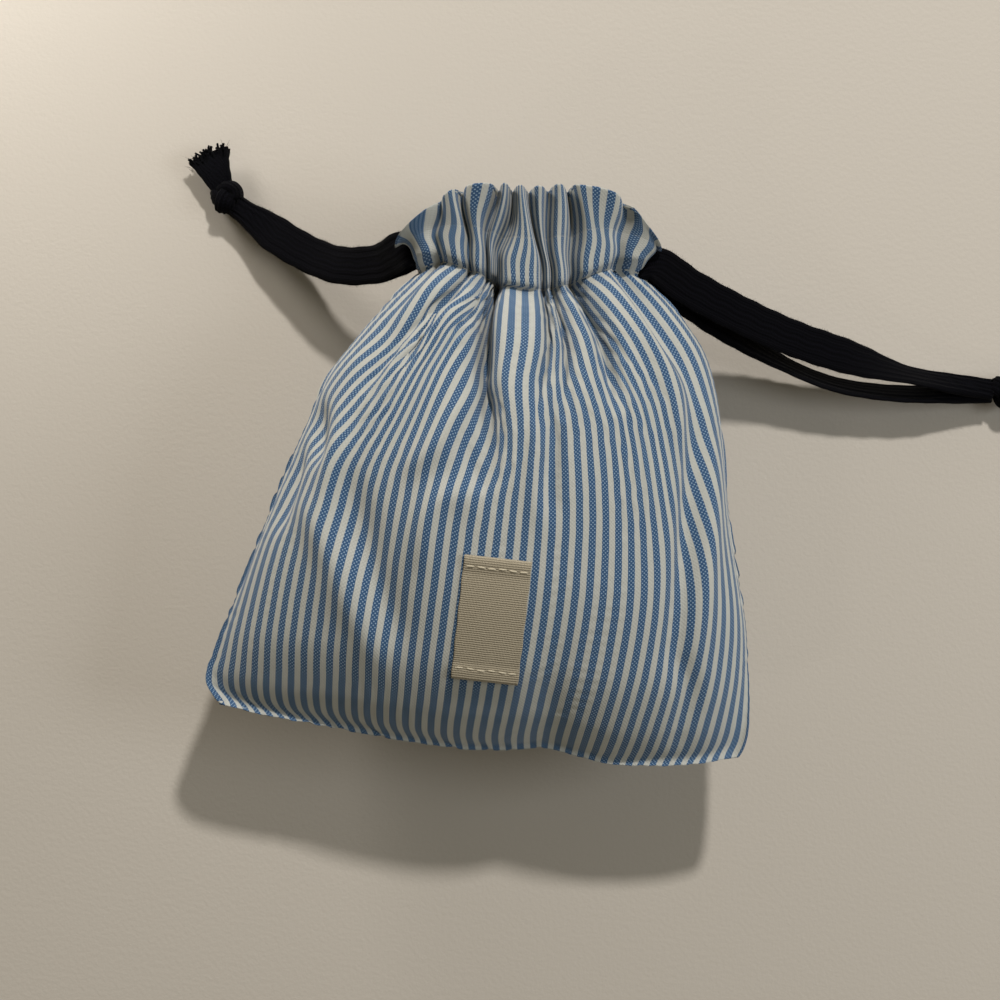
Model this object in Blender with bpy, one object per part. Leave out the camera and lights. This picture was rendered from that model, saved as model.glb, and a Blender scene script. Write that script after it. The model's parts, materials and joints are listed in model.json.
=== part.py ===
# A small drawstring pouch of striped cotton, drawn shut and full, lying on its back.
# Metres, +Z up. The front with its label faces +Z, the gathered head points to +Y.
# The origin is on the table, under the middle of the cloth bag.
import math

import bmesh
import bpy
import numpy as np
from mathutils import Matrix, Vector

# The cloth bag
BASE_WIDTH = 0.1325        # across the bottom corners of the filled bag
WAIST_WIDTH = 0.1055       # halfway up
SHOULDER_WIDTH = 0.0962    # where the filling ends
NECK_WIDTH = 0.0520        # at the lower stitch line of the casing
HEAD_WIDTH = 0.0610        # across the wings of the head
BASE_Y = -0.0600           # the two bottom corners
NECK_Y = 0.0460            # the lower stitch line
BASE_BOW = 0.0080          # how far the bottom fold bows out past its corners
SEAM_HEIGHT = 0.0290       # the side seams above the table, and so the depth of the back
SETTLED = 0.0010           # how much of the back's curve its own weight presses flat
FRONT_RISE = 0.0280        # the front above the side seams
NECK_RISE = 0.0118         # the gathers above and below the seam plane at the neck
FOLD_THICKNESS = 0.0012    # two layers of cloth at the bottom fold
CLOTH_THICKNESS = 0.0016   # the frill's doubled cloth with its small folds

# The head: the casing for the drawstrings, and the frill above it
CASING_LENGTH = 0.0112
FRILL_LENGTH = 0.0107
MOUTH_DEPTH = 0.0070       # how far the drawn mouth stays open
WING_DROOP = 0.0110        # how far the ends of the frill lag behind its middle
HEAD_TILT = math.radians(6.0)
HEAD_SHIFT = 0.0026        # the head sits a little to the right
SLIT_INSET = 0.0055        # each slit reaches this far in from the edge of the neck
CREASE_DEPTH = 0.0050      # of a middling crease at the head

# Creases drawn in by the drawstrings: share of the cloth from the left seam to the right one, at
# the head and where it dies away; how far up the body that is; half its span; depth as a share
FRONT_CREASES = (
    (0.105, 0.150, 0.60, 0.085, 0.60),
    (0.235, 0.265, 0.78, 0.060, 0.84),
    (0.352, 0.372, 0.40, 0.065, 1.12),
    (0.440, 0.450, 0.82, 0.040, 0.80),
    (0.532, 0.552, 0.46, 0.052, 0.96),
    (0.612, 0.622, 0.74, 0.040, 0.84),
    (0.725, 0.700, 0.52, 0.075, 1.00),
    (0.872, 0.835, 0.58, 0.085, 0.64),
)
BACK_CREASES = (
    (0.120, 0.150, 0.64, 0.085, 0.60),
    (0.270, 0.280, 0.56, 0.070, 0.92),
    (0.395, 0.400, 0.80, 0.052, 0.88),
    (0.490, 0.480, 0.52, 0.048, 1.00),
    (0.590, 0.600, 0.76, 0.048, 0.84),
    (0.715, 0.700, 0.60, 0.070, 1.00),
    (0.870, 0.840, 0.66, 0.080, 0.60),
)
BODY_CREASE_GAIN = 0.55    # how much deeper the creases run just below the neck

# Two drawstrings of flat cotton tape, each drawn through both casings
TAPE_WIDTH = 0.0092
TAPE_THICKNESS = 0.0010
BUNCH_WIDTH = 0.0046       # the tape bunched up inside the casing
BUNCH_THICKNESS = 0.0026
TUNNEL_HEIGHT = 0.0034
TUNNEL_MIDDLE = 0.0039     # from the seam plane to the middle of each casing's tunnel
CLEARANCE = 0.0003         # between pieces that touch
STRAND_INSET = 0.0042      # the free tape starts this far in from the tips of the wings
TURN_INSET = 0.0053        # and the other drawstring's turn stops this far in from them
KNOT_RADIUS = 0.0046
TAIL_LENGTH = 0.0100
TAIL_SPREAD = 0.0125       # the frayed tail's width at its tip
TAIL_THICKNESS = 0.0034
NECKED_WIDTH = 0.0060      # the tape where it enters its knot

# The woven label
LABEL_WIDTH = 0.0155
LABEL_LENGTH = 0.0285
LABEL_THICKNESS = 0.0006
LABEL_X = 0.0019           # its middle, seen from above
LABEL_Y = -0.0365
LABEL_TURN = math.radians(-1.0)
LABEL_FOLD = 0.0032        # the ends are folded under by this much

# Fineness of the cloth's faceted surface
HALF_COLUMNS = 72
CURVE_SAMPLES = 720

CLOTH_BLUE = (0.30, 0.43, 0.62)
LABEL_CREAM = (0.72, 0.66, 0.52)
TAPE_NAVY = (0.012, 0.013, 0.025)


def clear_scene():
    for obj in list(bpy.data.objects):
        bpy.data.objects.remove(obj)


def material(name, colour, roughness):
    made = bpy.data.materials.new(name)
    made.use_nodes = True
    shader = made.node_tree.nodes["Principled BSDF"]
    shader.inputs["Base Color"].default_value = (*colour, 1.0)
    shader.inputs["Roughness"].default_value = roughness
    shader.inputs["Metallic"].default_value = 0.0
    return made


def solid(name, points, faces, finish, smooth=False):
    mesh = bpy.data.meshes.new(name)
    mesh.from_pydata([tuple(p) for p in points], [], faces)
    shape = bmesh.new()
    shape.from_mesh(mesh)
    bmesh.ops.recalc_face_normals(shape, faces=shape.faces)
    shape.to_mesh(mesh)
    shape.free()
    if smooth:
        mesh.shade_smooth()
    mesh.materials.append(finish)
    obj = bpy.data.objects.new(name, mesh)
    bpy.context.scene.collection.objects.link(obj)
    return obj


def through(stations, at):
    # A smooth curve through (place, value) stations that never overshoots them.
    x, y = (np.array(column, float) for column in zip(*stations, strict=True))
    step = np.diff(x)
    rise = np.diff(y) / step
    slope = np.concatenate([[rise[0]], np.zeros(len(x) - 2), [rise[-1]]])
    for i in range(1, len(x) - 1):
        if rise[i - 1] * rise[i] > 0:
            slope[i] = 2 * rise[i - 1] * rise[i] / (rise[i - 1] + rise[i])
    at = min(max(at, x[0]), x[-1])
    i = min(int(np.searchsorted(x, at, side="right")) - 1, len(x) - 2)
    t = (at - x[i]) / step[i]
    return float(
        y[i] * (1 + 2 * t) * (1 - t) ** 2
        + y[i + 1] * t * t * (3 - 2 * t)
        + step[i] * (slope[i] * t * (1 - t) ** 2 - slope[i + 1] * t * t * (1 - t))
    )


def ramp(at, low, high):
    t = np.clip((at - low) / (high - low), 0.0, 1.0)
    return t * t * (3 - 2 * t)


def arc_along(x, z):
    return np.concatenate([[0.0], np.cumsum(np.hypot(np.diff(x), np.diff(z)))])


def half_ring(half_width, rise, roundness, creases, share, deep, inset):
    # One half of a cross-section, seam to seam: a rounded arch with the creases pressed into it.
    angle = np.linspace(0.0, math.pi, CURVE_SAMPLES)
    x = -half_width * np.cos(angle)
    z = rise * np.sin(angle) ** roundness
    along = arc_along(x, z)
    at = np.linspace(0.0, along[-1], HALF_COLUMNS + 1)
    x, z = np.interp(at, along, x), np.interp(at, along, z)
    cloth = at / at[-1]
    depth = np.full(len(at), inset)
    for top, foot, reach, span, full in creases:
        pull = float(ramp(share, reach, 1.0))
        strength = pull**0.8 * deep * (1 + BODY_CREASE_GAIN * math.sin(math.pi * pull))
        middle = foot + (top - foot) * pull
        wide = span * (1.7 - 0.7 * pull)
        depth += CREASE_DEPTH * full * strength * np.clip(1 - np.abs(cloth - middle) / wide, 0, 1) ** 1.9
    run, climb = np.gradient(x, at), np.gradient(z, at)
    run[[0, -1]], climb[[0, -1]] = 0.0, (1.0, -1.0)
    return x + climb * depth, z - run * depth


def ring(half_width, front, back, roundness, share, deep=1.0, inset=0.0):
    # A closed cross-section: the front from the left seam to the right, then the back.
    x, z = half_ring(half_width, front, roundness, FRONT_CREASES, share, deep, inset)
    u, w = half_ring(half_width, back, roundness, BACK_CREASES, share, deep, inset)
    return np.concatenate([x, u[::-1][1:-1]]), np.concatenate([z, -w[::-1][1:-1]])


def slit_start():
    # From the middle of the head to the inner end of each slit.
    return NECK_WIDTH / 2 - SLIT_INSET


def strand_start():
    return HEAD_WIDTH / 2 - STRAND_INSET


def head_frame():
    # The head's own frame: X along the casing, Y up the frill, its origin in the casing's middle.
    middle = Vector((HEAD_SHIFT, NECK_Y + CASING_LENGTH / 2, SEAM_HEIGHT))
    return Matrix.Translation(middle) @ Matrix.Rotation(HEAD_TILT, 4, "Z")


def turned(x, y, amount):
    # Carries the upper part of the bag round with the head, by an amount from 0 to 1.
    middle = NECK_Y + CASING_LENGTH / 2
    angle = HEAD_TILT * amount
    x, y = x, y - middle
    return (
        x * math.cos(angle) - y * math.sin(angle) + HEAD_SHIFT * amount,
        x * math.sin(angle) + y * math.cos(angle) + middle,
    )


BODY_SPAN = NECK_Y - BASE_Y
BODY_WIDTHS = (
    (0.00, BASE_WIDTH * 0.930),
    (0.03, BASE_WIDTH * 0.990),
    (0.06, BASE_WIDTH),
    (0.25, BASE_WIDTH * 0.925),
    (0.50, WAIST_WIDTH),
    (0.72, SHOULDER_WIDTH),
    (0.84, SHOULDER_WIDTH * 0.89),
    (0.94, NECK_WIDTH * 1.28),
    (1.00, NECK_WIDTH),
)
# Shares of the full rise of the front, and of the full depth of the back, up the body
BODY_RISES = (
    (0.0, 0.0), (0.03, 0.22), (0.08, 0.50), (0.18, 0.80), (0.34, 0.97),
    (0.5, 1.0), (0.68, 0.94), (0.84, 0.68), (1.0, 0.0),
)
BACK_DROPS = (
    (0.0, 0.0), (0.03, 0.30), (0.08, 0.64), (0.16, 0.92), (0.24, 1.0),
    (0.66, 1.0), (0.78, 0.90), (0.90, 0.50), (1.0, 0.0),
)
BODY_STATIONS = (
    0.0, 0.012, 0.035, 0.07, 0.12, 0.18, 0.25, 0.33, 0.42,
    0.51, 0.60, 0.68, 0.75, 0.81, 0.86, 0.905, 0.945, 0.975,
)
ROUNDNESS = ((0.0, 1.25), (0.10, 1.15), (0.35, 0.92), (0.70, 0.82), (1.0, 0.72))
HEAD_ROUNDNESS = 0.62


def body_ring(share):
    # The cross-section at a share of the way up the body, from the bottom fold to the neck.
    neck = float(ramp(share, 0.5, 1.0))
    half_width = through(BODY_WIDTHS, share) / 2
    least = FOLD_THICKNESS / 2 * (1 - neck) + NECK_RISE * neck
    front = least + (FRONT_RISE - NECK_RISE * neck) * through(BODY_RISES, share)
    back = least + (SEAM_HEIGHT + SETTLED - NECK_RISE * neck) * through(BACK_DROPS, share)
    x, z = ring(half_width, front, back, through(ROUNDNESS, share), share)
    bow = BASE_BOW * (1 - float(ramp(share, 0.0, 0.45)))
    y = BASE_Y + BODY_SPAN * share - bow * (1 - np.clip(np.abs(x) / half_width, 0, 1) ** 2)
    x, y = turned(x, y, float(ramp(share, 0.35, 1.0)))
    return np.stack([x, y, z + SEAM_HEIGHT], axis=1)


HEAD_TOP = CASING_LENGTH + FRILL_LENGTH
# Share of the head's length, share of the way out to the wings, rise, crease depth
HEAD_SECTIONS = (
    (0.00, 0.00, NECK_RISE, 1.00),
    (0.10, 0.22, NECK_RISE * 1.02, 0.95),
    (0.24, 0.52, NECK_RISE * 1.05, 0.90),
    (0.40, 0.80, NECK_RISE * 1.05, 0.90),
    (0.53, 0.95, NECK_RISE * 1.00, 1.00),
    (0.68, 1.00, NECK_RISE * 1.02, 1.05),
    (0.85, 1.00, NECK_RISE * 1.08, 1.12),
    (0.96, 0.98, NECK_RISE * 1.08, 1.16),
)


def head_ring(share, out, rise, deep, inset=0.0, rim=0.0):
    half_width = (NECK_WIDTH + (HEAD_WIDTH - NECK_WIDTH) * out) / 2
    x, z = ring(half_width, rise, rise, HEAD_ROUNDNESS, 1.0, deep, inset)
    droop = WING_DROOP * share**2 * np.clip(np.abs(x) / half_width, 0, 1) ** 2.4
    x, y = turned(x, NECK_Y + HEAD_TOP * share + rim - droop, 1.0)
    return np.stack([x, y, z + SEAM_HEIGHT], axis=1)


def mouth_rings():
    # The frill's rolled top edge, then its inner face down to where the drawstrings close it.
    share, out, rise, deep = HEAD_SECTIONS[-1]
    bottom = 1.0 - MOUTH_DEPTH / HEAD_TOP
    rings = [head_ring(share, out, rise, deep, CLOTH_THICKNESS / 2, CLOTH_THICKNESS / 3)]
    for depth in (0.0, 0.5, 1.0):
        down = share + (bottom - share) * depth
        inset = CLOTH_THICKNESS * (1 + 0.8 * depth)
        rings.append(head_ring(down, out, rise, deep * (1 - 0.1 * depth), inset))
    return rings


def bag_mesh():
    rings = [body_ring(share) for share in BODY_STATIONS]
    rings += [head_ring(*section) for section in HEAD_SECTIONS]
    rings += mouth_rings()
    around = 2 * HALF_COLUMNS
    faces = []
    for r in range(len(rings) - 1):
        for i in range(around):
            j = (i + 1) % around
            faces.append((r * around + i, r * around + j, (r + 1) * around + j, (r + 1) * around + i))
    for start, flip in ((0, False), ((len(rings) - 1) * around, True)):
        for i in range(HALF_COLUMNS):
            over, next_over = start + (around - i) % around, start + (around - i - 1) % around
            corners = list(dict.fromkeys([start + i, start + i + 1, next_over, over]))
            faces.append(tuple(corners if flip else corners[::-1]))
    return np.concatenate(rings), faces


def block(name, low, high):
    # A cutter: a box given by two corners in the head's frame.
    shape = bmesh.new()
    bmesh.ops.create_cube(shape, size=1.0)
    for v in shape.verts:
        for k in range(3):
            v.co[k] = high[k] if v.co[k] > 0 else low[k]
    shape.transform(head_frame())
    mesh = bpy.data.meshes.new(name)
    shape.to_mesh(mesh)
    shape.free()
    obj = bpy.data.objects.new(name, mesh)
    obj.hide_render = True
    obj.display_type = "WIRE"
    bpy.context.scene.collection.objects.link(obj)
    return obj


def cut(obj, cutter):
    made = obj.modifiers.new(cutter.name, "BOOLEAN")
    made.operation = "DIFFERENCE"
    made.solver = "EXACT"
    made.object = cutter


def press_flat(obj):
    # Cuts the back off at the table, which leaves the one flat patch that the bag rests on.
    shape = bmesh.new()
    shape.from_mesh(obj.data)
    whole = [*shape.verts, *shape.edges, *shape.faces]
    down = Vector((0.0, 0.0, -1.0))
    made = bmesh.ops.bisect_plane(
        shape, geom=whole, dist=1e-5, plane_co=(0, 0, 0), plane_no=down, clear_outer=True,
    )
    rim = [e for e in made["geom_cut"] if isinstance(e, bmesh.types.BMEdge)]
    for edge in rim:
        for v in edge.verts:
            v.co.z = 0.0
    bmesh.ops.holes_fill(shape, edges=rim)
    bmesh.ops.recalc_face_normals(shape, faces=shape.faces)
    shape.to_mesh(obj.data)
    shape.free()


def make_bag(finish):
    points, faces = bag_mesh()
    bag = solid("cloth_bag", points, faces, finish)
    press_flat(bag)
    half_tunnel = BUNCH_WIDTH + 1.5 * CLEARANCE
    for side, name in ((1, "front"), (-1, "back")):
        middle = side * TUNNEL_MIDDLE
        cut(bag, block(
            f"{name}_tunnel",
            (-slit_start() - CLEARANCE, -half_tunnel, middle - TUNNEL_HEIGHT / 2),
            (slit_start() + CLEARANCE, half_tunnel, middle + TUNNEL_HEIGHT / 2),
        ))
    for side, name in ((-1, "left"), (1, "right")):
        ends = sorted((side * slit_start(), side * HEAD_WIDTH))
        top = CASING_LENGTH / 2 + FRILL_LENGTH * 1.5
        half_slit = TUNNEL_MIDDLE + TUNNEL_HEIGHT / 2 + CLEARANCE
        cut(bag, block(
            f"{name}_slit",
            (ends[0], -half_tunnel - CLEARANCE, -half_slit),
            (ends[1], top, half_slit),
        ))
    return bag


def swept(name, path, across, widths, thickness, finish):
    # A flat band along a path: a closed strip with rounded edges and flat ends.
    path = [Vector(p) for p in path]
    points, faces = [], []
    profile = ((-0.5, 0.0), (-0.42, 0.5), (0.42, 0.5), (0.5, 0.0), (0.42, -0.5), (-0.42, -0.5))
    for i, p in enumerate(path):
        ahead = (path[min(i + 1, len(path) - 1)] - path[max(i - 1, 0)]).normalized()
        side = Vector(across[i])
        side = (side - ahead * side.dot(ahead)).normalized()
        up = side.cross(ahead)
        for u, v in profile:
            points.append(p + side * (u * widths[i]) + up * (v * thickness))
    around = len(profile)
    for i in range(len(path) - 1):
        for k in range(around):
            m = (k + 1) % around
            faces.append((i * around + k, i * around + m, (i + 1) * around + m, (i + 1) * around + k))
    faces.append(tuple(range(around))[::-1])
    faces.append(tuple((len(path) - 1) * around + k for k in range(around)))
    return solid(name, points, faces, finish)


def smooth_path(points, step):
    # Points about a step apart on one smooth curve through the route's own points.
    route = [Vector(p) for p in points]
    route = [route[0] * 2 - route[1], *route, route[-1] * 2 - route[-2]]
    dense = []
    for i in range(1, len(route) - 2):
        a, b, c, d = route[i - 1 : i + 3]
        for t in np.linspace(0.0, 1.0, 24, endpoint=False):
            dense.append(0.5 * (
                2 * b + (c - a) * t + (2 * a - 5 * b + 4 * c - d) * t * t + (3 * b - a - 3 * c + d) * t**3
            ))
    dense.append(route[-2])
    dense = np.array(dense)
    along = np.concatenate([[0.0], np.cumsum(np.linalg.norm(np.diff(dense, axis=0), axis=1))])
    at = np.linspace(0.0, along[-1], max(2, round(along[-1] / step)) + 1)
    return np.stack([np.interp(at, along, dense[:, k]) for k in range(3)], axis=1)


def make_loop(name, side, lane, finish):
    # The part of a drawstring held in the casings: in at the front, round, and out at the back.
    turn = HEAD_WIDTH / 2 - TURN_INSET - BUNCH_THICKNESS / 2 - TUNNEL_MIDDLE
    place = lane * (BUNCH_WIDTH + CLEARANCE) / 2
    start = side * (strand_start() - CLEARANCE)
    path = [(start, TUNNEL_MIDDLE), (start * 0.5, TUNNEL_MIDDLE), (0.0, TUNNEL_MIDDLE)]
    for k in range(9):
        angle = math.pi / 2 - math.pi * k / 8
        path.append((-side * (turn + TUNNEL_MIDDLE * math.cos(angle)), TUNNEL_MIDDLE * math.sin(angle)))
    path += [(0.0, -TUNNEL_MIDDLE), (start * 0.5, -TUNNEL_MIDDLE), (start, -TUNNEL_MIDDLE)]
    frame = head_frame()
    places = [frame @ Vector((x, place, z)) for x, z in path]
    along_y = (frame.to_3x3() @ Vector((0, 1, 0)))[:]
    return swept(name, places, [along_y] * len(path), [BUNCH_WIDTH] * len(path), BUNCH_THICKNESS, finish)


# The free tapes, by hand: places after the casing, and how far the tape leans there in degrees
LEFT_ROUTE = (
    (-0.0340, 0.0475, 0.0250),
    (-0.0438, 0.0474, 0.0180),
    (-0.0521, 0.0502, 0.0128),
    (-0.0604, 0.0543, 0.0092),
    (-0.0672, 0.0585, 0.0066),
)
RIGHT_FRONT_ROUTE = (
    (0.0421, 0.0487, 0.0277),
    (0.0554, 0.0440, 0.0228),
    (0.0700, 0.0401, 0.0172),
    (0.0848, 0.0374, 0.0128),
    (0.0983, 0.0352, 0.0098),
    (0.1110, 0.0340, 0.0078),
)
RIGHT_BACK_ROUTE = (
    (0.0415, 0.0472, 0.0235),
    (0.0540, 0.0412, 0.0170),
    (0.0671, 0.0352, 0.0110),
    (0.0809, 0.0312, 0.0078),
    (0.0941, 0.0302, 0.0062),
    (0.1080, 0.0310, 0.0054),
)
KNOT_LIFT = 0.0001         # the knots just clear the table
LEFT_KNOT = Vector((-0.0759, 0.0636, KNOT_RADIUS + KNOT_LIFT))
RIGHT_KNOT = Vector((0.1257, 0.0335, KNOT_RADIUS + KNOT_LIFT))
LEFT_TAIL = Vector((-0.48, 0.87, 0.0)).normalized()
RIGHT_TAIL = Vector((0.99, 0.12, 0.0)).normalized()
TAIL_RISE = 0.0012         # how far a tail's tip rises
STACK_DROP = 0.0022        # the left back tape lies this far under the front one
LOWEST_TAPE = 0.0030       # but its middle never lower than this


def make_strand(name, side, layer, lane, route, knot, leans, finish):
    # One free tape, from its casing's mouth to its knot; layer +1 is the front one.
    frame = head_frame()
    start = Vector((side * strand_start(), lane * (BUNCH_WIDTH + CLEARANCE) / 2, layer * TUNNEL_MIDDLE))
    away = start + Vector((side * BUNCH_WIDTH, 0.0, 0.0))
    last = Vector(route[-1])
    reach = KNOT_RADIUS + CLEARANCE * 2
    end = knot + (last - knot).normalized() * reach
    end.z = knot.z + layer * (TAPE_THICKNESS / 2 + CLEARANCE)
    path = smooth_path([frame @ start, frame @ away, *route, end], TAPE_WIDTH / 3)
    share = np.linspace(0.0, 1.0, len(path))
    widths = [
        BUNCH_WIDTH + (TAPE_WIDTH - BUNCH_WIDTH) * float(ramp(s, 0.04, 0.16))
        - (TAPE_WIDTH - NECKED_WIDTH) * float(ramp(s, 0.80, 1.0))
        for s in share
    ]
    across = []
    for i, s in enumerate(share):
        ahead = Vector(path[min(i + 1, len(path) - 1)] - path[max(i - 1, 0)])
        flat = Vector((-ahead.y, ahead.x, 0.0)).normalized()
        lean = math.radians(through(leans, float(s)))
        across.append(flat * math.cos(lean) + Vector((0, 0, 1)) * math.sin(lean))
    return swept(name, path, across, widths, TAPE_THICKNESS, finish)


def make_knot(name, centre, ahead, finish):
    # An overhand knot drawn tight: a ball with a wrap standing proud across it.
    shape = bmesh.new()
    bmesh.ops.create_uvsphere(shape, u_segments=24, v_segments=16, radius=KNOT_RADIUS)
    for v in shape.verts:
        p = v.co.normalized()
        wrap = 0.88 + 0.12 * math.cos(3.0 * math.atan2(p.z, p.y) + 5.0 * p.x) * (1 - p.x**2)
        v.co = Vector((p.x * 0.92, p.y * wrap, p.z * 0.98)) * KNOT_RADIUS
    lowest = min(v.co.z for v in shape.verts)
    turn = Vector((1, 0, 0)).rotation_difference(ahead).to_matrix().to_4x4()
    shape.transform(Matrix.Translation((centre.x, centre.y, -lowest)) @ turn)
    mesh = bpy.data.meshes.new(name)
    shape.to_mesh(mesh)
    shape.free()
    mesh.shade_smooth()
    mesh.materials.append(finish)
    obj = bpy.data.objects.new(name, mesh)
    bpy.context.scene.collection.objects.link(obj)
    return obj


def make_tail(name, knot, ahead, finish):
    # The frayed ends past the knot, fanned out.
    start = knot + ahead * (KNOT_RADIUS + CLEARANCE)
    steps = 6
    path, widths = [], []
    for i in range(steps + 1):
        s = i / steps
        path.append(start + ahead * (TAIL_LENGTH * s) + Vector((0, 0, TAIL_RISE * s)))
        widths.append(NECKED_WIDTH + (TAIL_SPREAD - NECKED_WIDTH) * s)
    across = [Vector((-ahead.y, ahead.x, 0.0))] * len(path)
    return swept(name, path, across, widths, TAIL_THICKNESS, finish)


def surface_height(rings, x, y):
    # The front's height over a place, from the facets of the cloth bag.
    best = -1.0
    for r in range(len(rings) - 1):
        a, b = rings[r][: HALF_COLUMNS + 1], rings[r + 1][: HALF_COLUMNS + 1]
        for i in range(HALF_COLUMNS):
            for tri in ((a[i], a[i + 1], b[i + 1]), (a[i], b[i + 1], b[i])):
                p, q, s = (np.array(t) for t in tri)
                d = (q[0] - p[0]) * (s[1] - p[1]) - (s[0] - p[0]) * (q[1] - p[1])
                if abs(d) < 1e-12:
                    continue
                u = ((x - p[0]) * (s[1] - p[1]) - (s[0] - p[0]) * (y - p[1])) / d
                v = ((q[0] - p[0]) * (y - p[1]) - (x - p[0]) * (q[1] - p[1])) / d
                if u >= -1e-9 and v >= -1e-9 and u + v <= 1 + 1e-9:
                    best = max(best, p[2] + u * (q[2] - p[2]) + v * (s[2] - p[2]))
    return best


def make_label(finish):
    # A woven tape label with its ends folded under, lying on the curve of the front.
    rings = [body_ring(share) for share in BODY_STATIONS if share < 0.6]
    columns, rows = 8, 12
    low, high = [], []
    for j in range(rows + 1):
        for i in range(columns + 1):
            u, v = LABEL_WIDTH * (i / columns - 0.5), LABEL_LENGTH * (j / rows - 0.5)
            x = LABEL_X + u * math.cos(LABEL_TURN) - v * math.sin(LABEL_TURN)
            y = LABEL_Y + u * math.sin(LABEL_TURN) + v * math.cos(LABEL_TURN)
            z = surface_height(rings, x, y) + CLEARANCE * 1.5
            doubled = abs(v) > LABEL_LENGTH / 2 - LABEL_FOLD
            low.append((x, y, z))
            high.append((x, y, z + LABEL_THICKNESS * (1.5 if doubled else 1.0)))
    count = len(low)
    wide = columns + 1
    faces = []
    for j in range(rows):
        for i in range(columns):
            a = j * wide + i
            faces.append((a, a + wide, a + wide + 1, a + 1))
            faces.append((count + a, count + a + 1, count + a + wide + 1, count + a + wide))
    rim = [i for i in range(columns)] + [columns + wide * j for j in range(rows)]
    rim += [rows * wide + i for i in range(columns, 0, -1)] + [wide * j for j in range(rows, 0, -1)]
    for k, a in enumerate(rim):
        b = rim[(k + 1) % len(rim)]
        faces.append((a, b, count + b, count + a))
    return solid("woven_label", low + high, faces, finish)


def main():
    clear_scene()
    cloth = material("striped_cotton", CLOTH_BLUE, 0.85)
    cream = material("label_weave", LABEL_CREAM, 0.75)
    navy = material("navy_tape", TAPE_NAVY, 0.80)
    make_bag(cloth)
    make_label(cream)
    make_loop("left_drawstring_in_casing", -1, 1, navy)
    make_loop("right_drawstring_in_casing", 1, -1, navy)
    left_lean = ((0.0, 0.0), (1.0, 0.0))
    make_strand("left_front_tape", -1, 1, 1, LEFT_ROUTE, LEFT_KNOT, left_lean, navy)
    lower = [(x, y, max(z - STACK_DROP, LOWEST_TAPE)) for x, y, z in LEFT_ROUTE]
    make_strand("left_back_tape", -1, -1, 1, lower, LEFT_KNOT, left_lean, navy)
    front_lean = ((0.0, 0.0), (0.55, -5.0), (0.80, -55.0), (1.0, -20.0))
    back_lean = ((0.0, 0.0), (0.20, -8.0), (0.50, -60.0), (0.85, -55.0), (1.0, -20.0))
    make_strand("right_front_tape", 1, 1, -1, RIGHT_FRONT_ROUTE, RIGHT_KNOT, front_lean, navy)
    make_strand("right_back_tape", 1, -1, -1, RIGHT_BACK_ROUTE, RIGHT_KNOT, back_lean, navy)
    make_knot("left_knot", LEFT_KNOT, LEFT_TAIL, navy)
    make_knot("right_knot", RIGHT_KNOT, RIGHT_TAIL, navy)
    make_tail("left_frayed_tail", LEFT_KNOT, LEFT_TAIL, navy)
    make_tail("right_frayed_tail", RIGHT_KNOT, RIGHT_TAIL, navy)


main()
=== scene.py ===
import json
import math
import random
import time

import bmesh
import bpy
import numpy as np
from mathutils import Matrix, Vector
from mathutils.bvhtree import BVHTree

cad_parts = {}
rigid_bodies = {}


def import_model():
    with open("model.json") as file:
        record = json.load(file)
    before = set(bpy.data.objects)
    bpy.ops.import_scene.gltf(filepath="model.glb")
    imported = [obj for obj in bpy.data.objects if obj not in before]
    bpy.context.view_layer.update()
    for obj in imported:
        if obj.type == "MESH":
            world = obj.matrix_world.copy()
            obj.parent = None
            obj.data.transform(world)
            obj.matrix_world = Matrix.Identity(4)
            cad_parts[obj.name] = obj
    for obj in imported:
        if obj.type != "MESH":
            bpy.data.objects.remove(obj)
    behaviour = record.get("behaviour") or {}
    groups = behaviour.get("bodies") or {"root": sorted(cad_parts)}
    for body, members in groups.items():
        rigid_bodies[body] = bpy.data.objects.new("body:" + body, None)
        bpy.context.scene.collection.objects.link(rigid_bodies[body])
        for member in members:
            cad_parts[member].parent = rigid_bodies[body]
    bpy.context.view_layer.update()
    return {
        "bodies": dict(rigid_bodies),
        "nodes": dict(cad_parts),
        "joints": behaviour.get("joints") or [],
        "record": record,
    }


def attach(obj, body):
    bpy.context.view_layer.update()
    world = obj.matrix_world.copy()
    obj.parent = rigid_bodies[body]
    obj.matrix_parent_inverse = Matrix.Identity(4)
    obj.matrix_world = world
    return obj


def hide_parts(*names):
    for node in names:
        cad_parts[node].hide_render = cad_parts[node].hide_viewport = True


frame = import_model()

began = time.time()
random.seed(7)
mm = 0.001                 # lengths below are in metres where no note says otherwise
onTable = 0.0003           # the least height of cloth and fibres


def report(stage):
    print(f"{time.time() - began:6.1f} s  {stage}")


# Shader maths as Python expressions

class Shade:
    # A socket of a material's nodes, for sums such as 1 - mask.
    def __init__(self, tree, socket):
        self.tree = tree
        self.socket = socket

    def combine(self, kind, *values):
        return addNode(self.tree, "Math", {"operation": kind}, dict(enumerate(values)))

    def math(self, kind, *others):
        return self.combine(kind, self, *others)

    def __add__(self, other):
        return self.combine("ADD", self, other)

    def __sub__(self, other):
        return self.combine("SUBTRACT", self, other)

    def __rsub__(self, other):
        return self.combine("SUBTRACT", other, self)

    def __mul__(self, other):
        return self.combine("MULTIPLY", self, other)

    def __truediv__(self, other):
        return self.combine("DIVIDE", self, other)

    def __rtruediv__(self, other):
        return self.combine("DIVIDE", other, self)

    __radd__ = __add__
    __rmul__ = __mul__


def feed(tree, slot, value):
    # Links a Shade to a socket, or sets the socket's own value.
    if isinstance(value, Shade):
        tree.links.new(value.socket, slot)
    else:
        slot.default_value = (*value, 1.0) if slot.type == "RGBA" else value


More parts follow.
